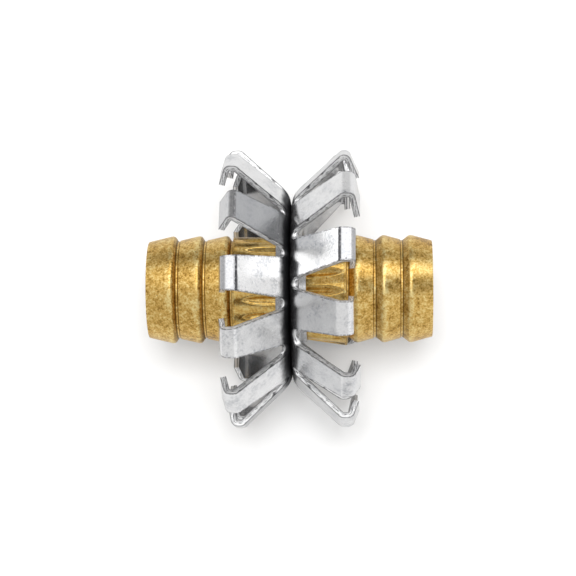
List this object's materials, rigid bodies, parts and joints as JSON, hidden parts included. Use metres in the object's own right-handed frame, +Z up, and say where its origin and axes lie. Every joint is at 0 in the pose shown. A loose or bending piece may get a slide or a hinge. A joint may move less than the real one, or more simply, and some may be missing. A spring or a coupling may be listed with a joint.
{
  "type": "hose mender",
  "caption": "Clinch hose mender: a brass stem with ringed barbs at both ends and two back-to-back steel crowns of hooked fingers that clamp the hose ends.",
  "frame": {"origin": "centre of the stem's bore, midway between its two mouths", "axes": "+X along the bore towards the right-hand mouth, +Z up as the mender lies on its fingertips"},
  "size_m": [0.0446, 0.0438, 0.0438],
  "materials": {
    "brass": "tumbled, finely grained",
    "plated_steel": "bright zinc plate"
  },
  "bodies": {
    "root": {"barbed_stem": "brass", "left_crown": "plated_steel", "right_crown": "plated_steel"}
  },
  "joints": []
}
